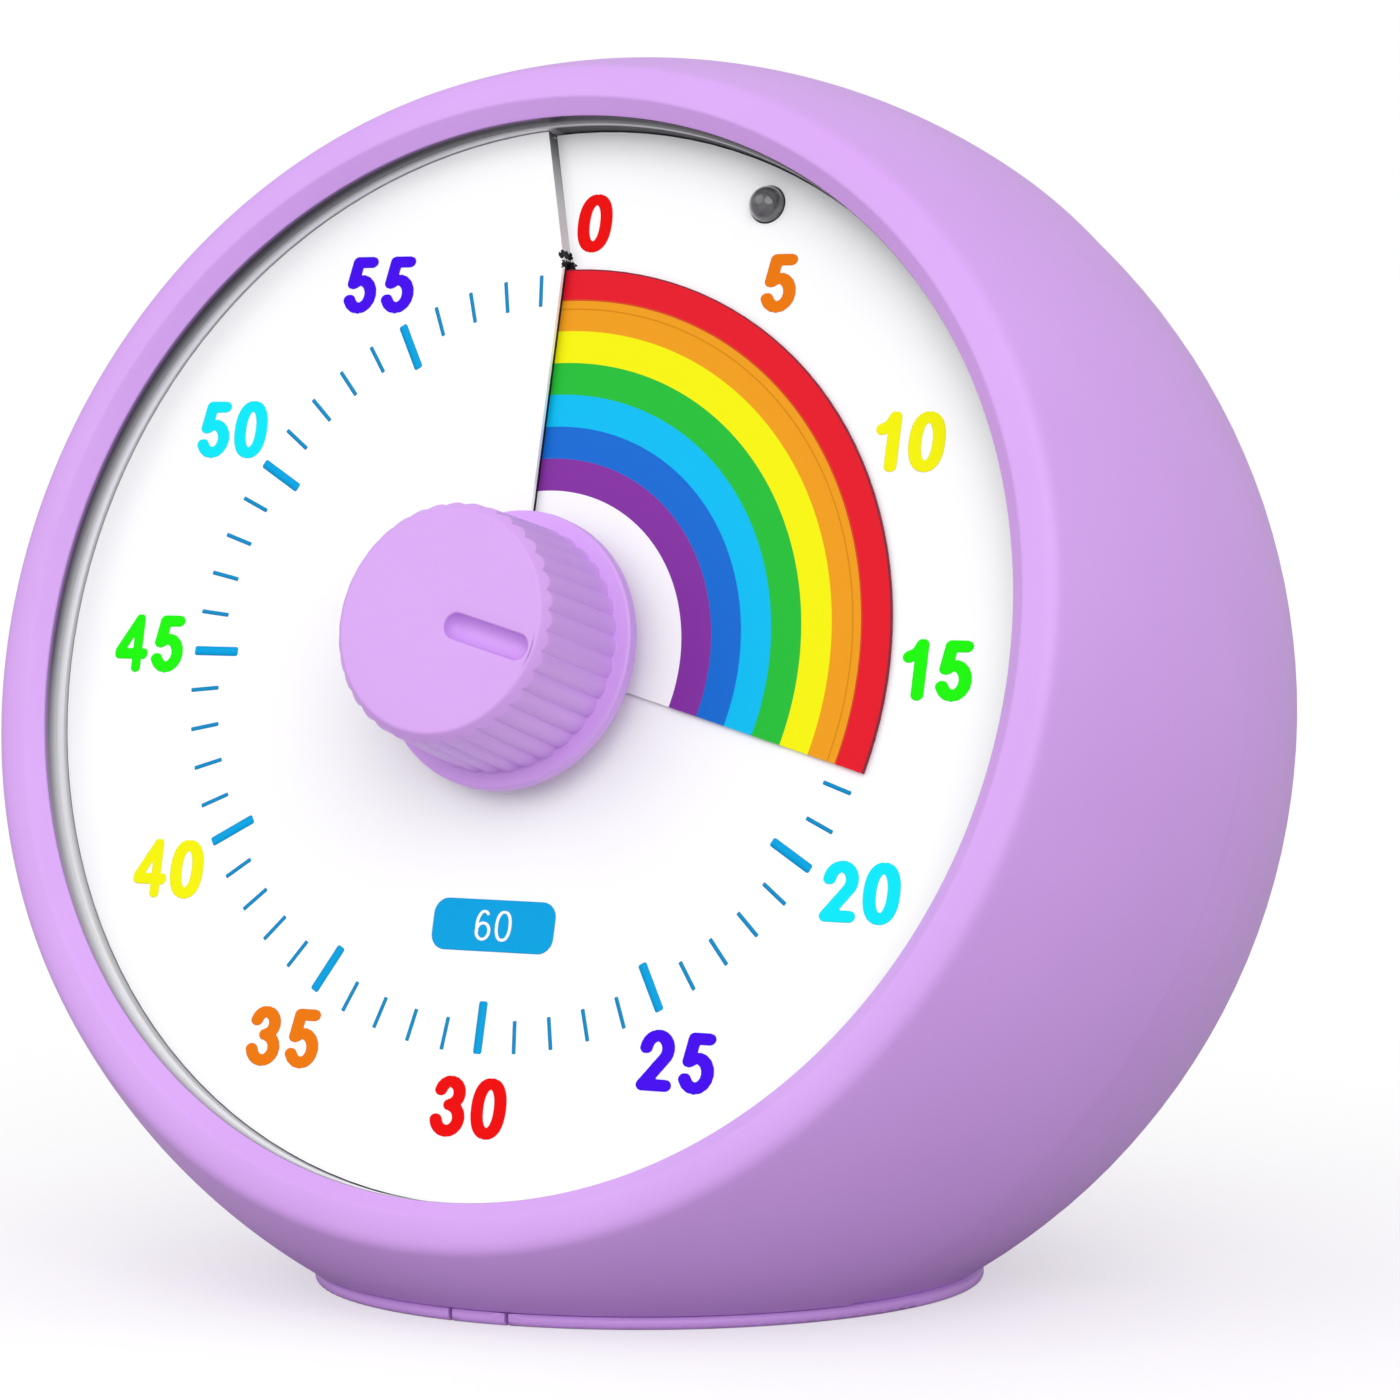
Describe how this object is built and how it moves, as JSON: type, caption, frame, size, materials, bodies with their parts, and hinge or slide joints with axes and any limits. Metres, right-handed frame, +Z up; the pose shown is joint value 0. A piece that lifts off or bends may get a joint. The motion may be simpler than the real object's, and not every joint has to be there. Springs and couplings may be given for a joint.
{
  "type": "visual countdown timer",
  "caption": "Ball-shaped desk timer with a tilted minute dial, a central knob and a rainbow disc that winds out of a slit to show the time left.",
  "frame": {"origin": "on the surface that the timer stands on, under the centre of its ball-shaped body", "axes": "+Z up, -Y the way the dial faces (it leans back by 15 degrees), +X to the right of someone who looks at the dial"},
  "size_m": [0.1083, 0.0899, 0.1015],
  "materials": {
    "lilac_plastic": "moulded ABS, fine satin",
    "liner_plastic": "grey moulded, satin",
    "dial_plastic": "white printed sheet, matt",
    "dial_ink": "pad-printed ink on the dial: digits, ticks and plaque, each in its own colour",
    "disc_film": "film printed in rainbow bands, matt",
    "white_plastic": "moulded, matt",
    "black_plastic": "moulded, fine texture",
    "indicator_plastic": "smoked epoxy, polished",
    "steel": "zinc-plated",
    "nickel": "nickel-plated spring steel",
    "brass": "turned",
    "motor_steel": "stamped",
    "copper_wire": "enamelled copper winding",
    "magnet": "sintered ferrite",
    "board": "solder resist on glass laminate",
    "speaker_metal": "pressed basket, plated",
    "cell_jacket": "plain foil sleeve"
  },
  "bodies": {
    "housing": {"front_shell": "lilac_plastic", "rear_shell": "lilac_plastic", "rim_liner": "liner_plastic", "dial_plate": "dial_plastic", "dial_carrier": "white_plastic", "carrier_screws": "steel", "case_screws": "steel", "movement_case": "black_plastic", "movement_lid": "black_plastic", "threaded_bush": "brass", "fixing_nut": "brass", "circuit_board": "board", "indicator_led": "indicator_plastic", "speaker": "speaker_metal", "switch_board": "board", "switch_body": "black_plastic", "battery_box": "black_plastic", "battery_cells": "cell_jacket", "contact_springs": "nickel", "contact_plates": "nickel", "stator": "motor_steel", "coil": "copper_wire"},
    "knob_group": {"knob": "lilac_plastic", "arbor": "steel", "clutch_spring": "steel", "centre_wheel": "white_plastic", "retaining_clip": "steel"},
    "disc": {"rainbow_disc": "disc_film", "disc_hub": "white_plastic"},
    "third": {"third_wheel": "white_plastic"},
    "rotor_body": {"rotor": "magnet"},
    "slider": {"switch_slider": "black_plastic"},
    "cover": {"base_cover": "lilac_plastic"}
  },
  "joints": [
    {"name": "knob_turn", "type": "hinge", "parent": "housing", "child": "knob_group", "pos_m": [0, -0.0197, 0.05268], "axis": [0, 0.9659, -0.2588], "range_deg": [-110, 255]},
    {"name": "disc_climb", "type": "slide", "parent": "knob_group", "child": "disc", "axis": [0, -0.9659, 0.2588], "range_m": [-0.00037, 0.00086]},
    {"name": "third_wheel_turn", "type": "hinge", "parent": "housing", "child": "third", "pos_m": [0.006, -0.02239, 0.04264], "axis": [0, 0.9659, -0.2588], "range_deg": [-1275, 550]},
    {"name": "rotor_turn", "type": "hinge", "parent": "housing", "child": "rotor_body", "pos_m": [-0.006, -0.02239, 0.04264], "axis": [0, 0.9659, -0.2588], "range_deg": [-2750, 6375]},
    {"name": "switch_slide", "type": "slide", "parent": "housing", "child": "slider", "axis": [-1, 0, 0], "range_m": [0, 0.0036]},
    {"name": "cover_off", "type": "slide", "parent": "housing", "child": "cover", "axis": [0, 0, -1], "range_m": [0, 0.02]}
  ],
  "couplings": [
    {"joint": "disc_climb", "follows": "knob_turn", "m_per_rad": 0.00019099},
    {"joint": "third_wheel_turn", "follows": "knob_turn", "ratio": -5},
    {"joint": "rotor_turn", "follows": "knob_turn", "ratio": 25}
  ]
}
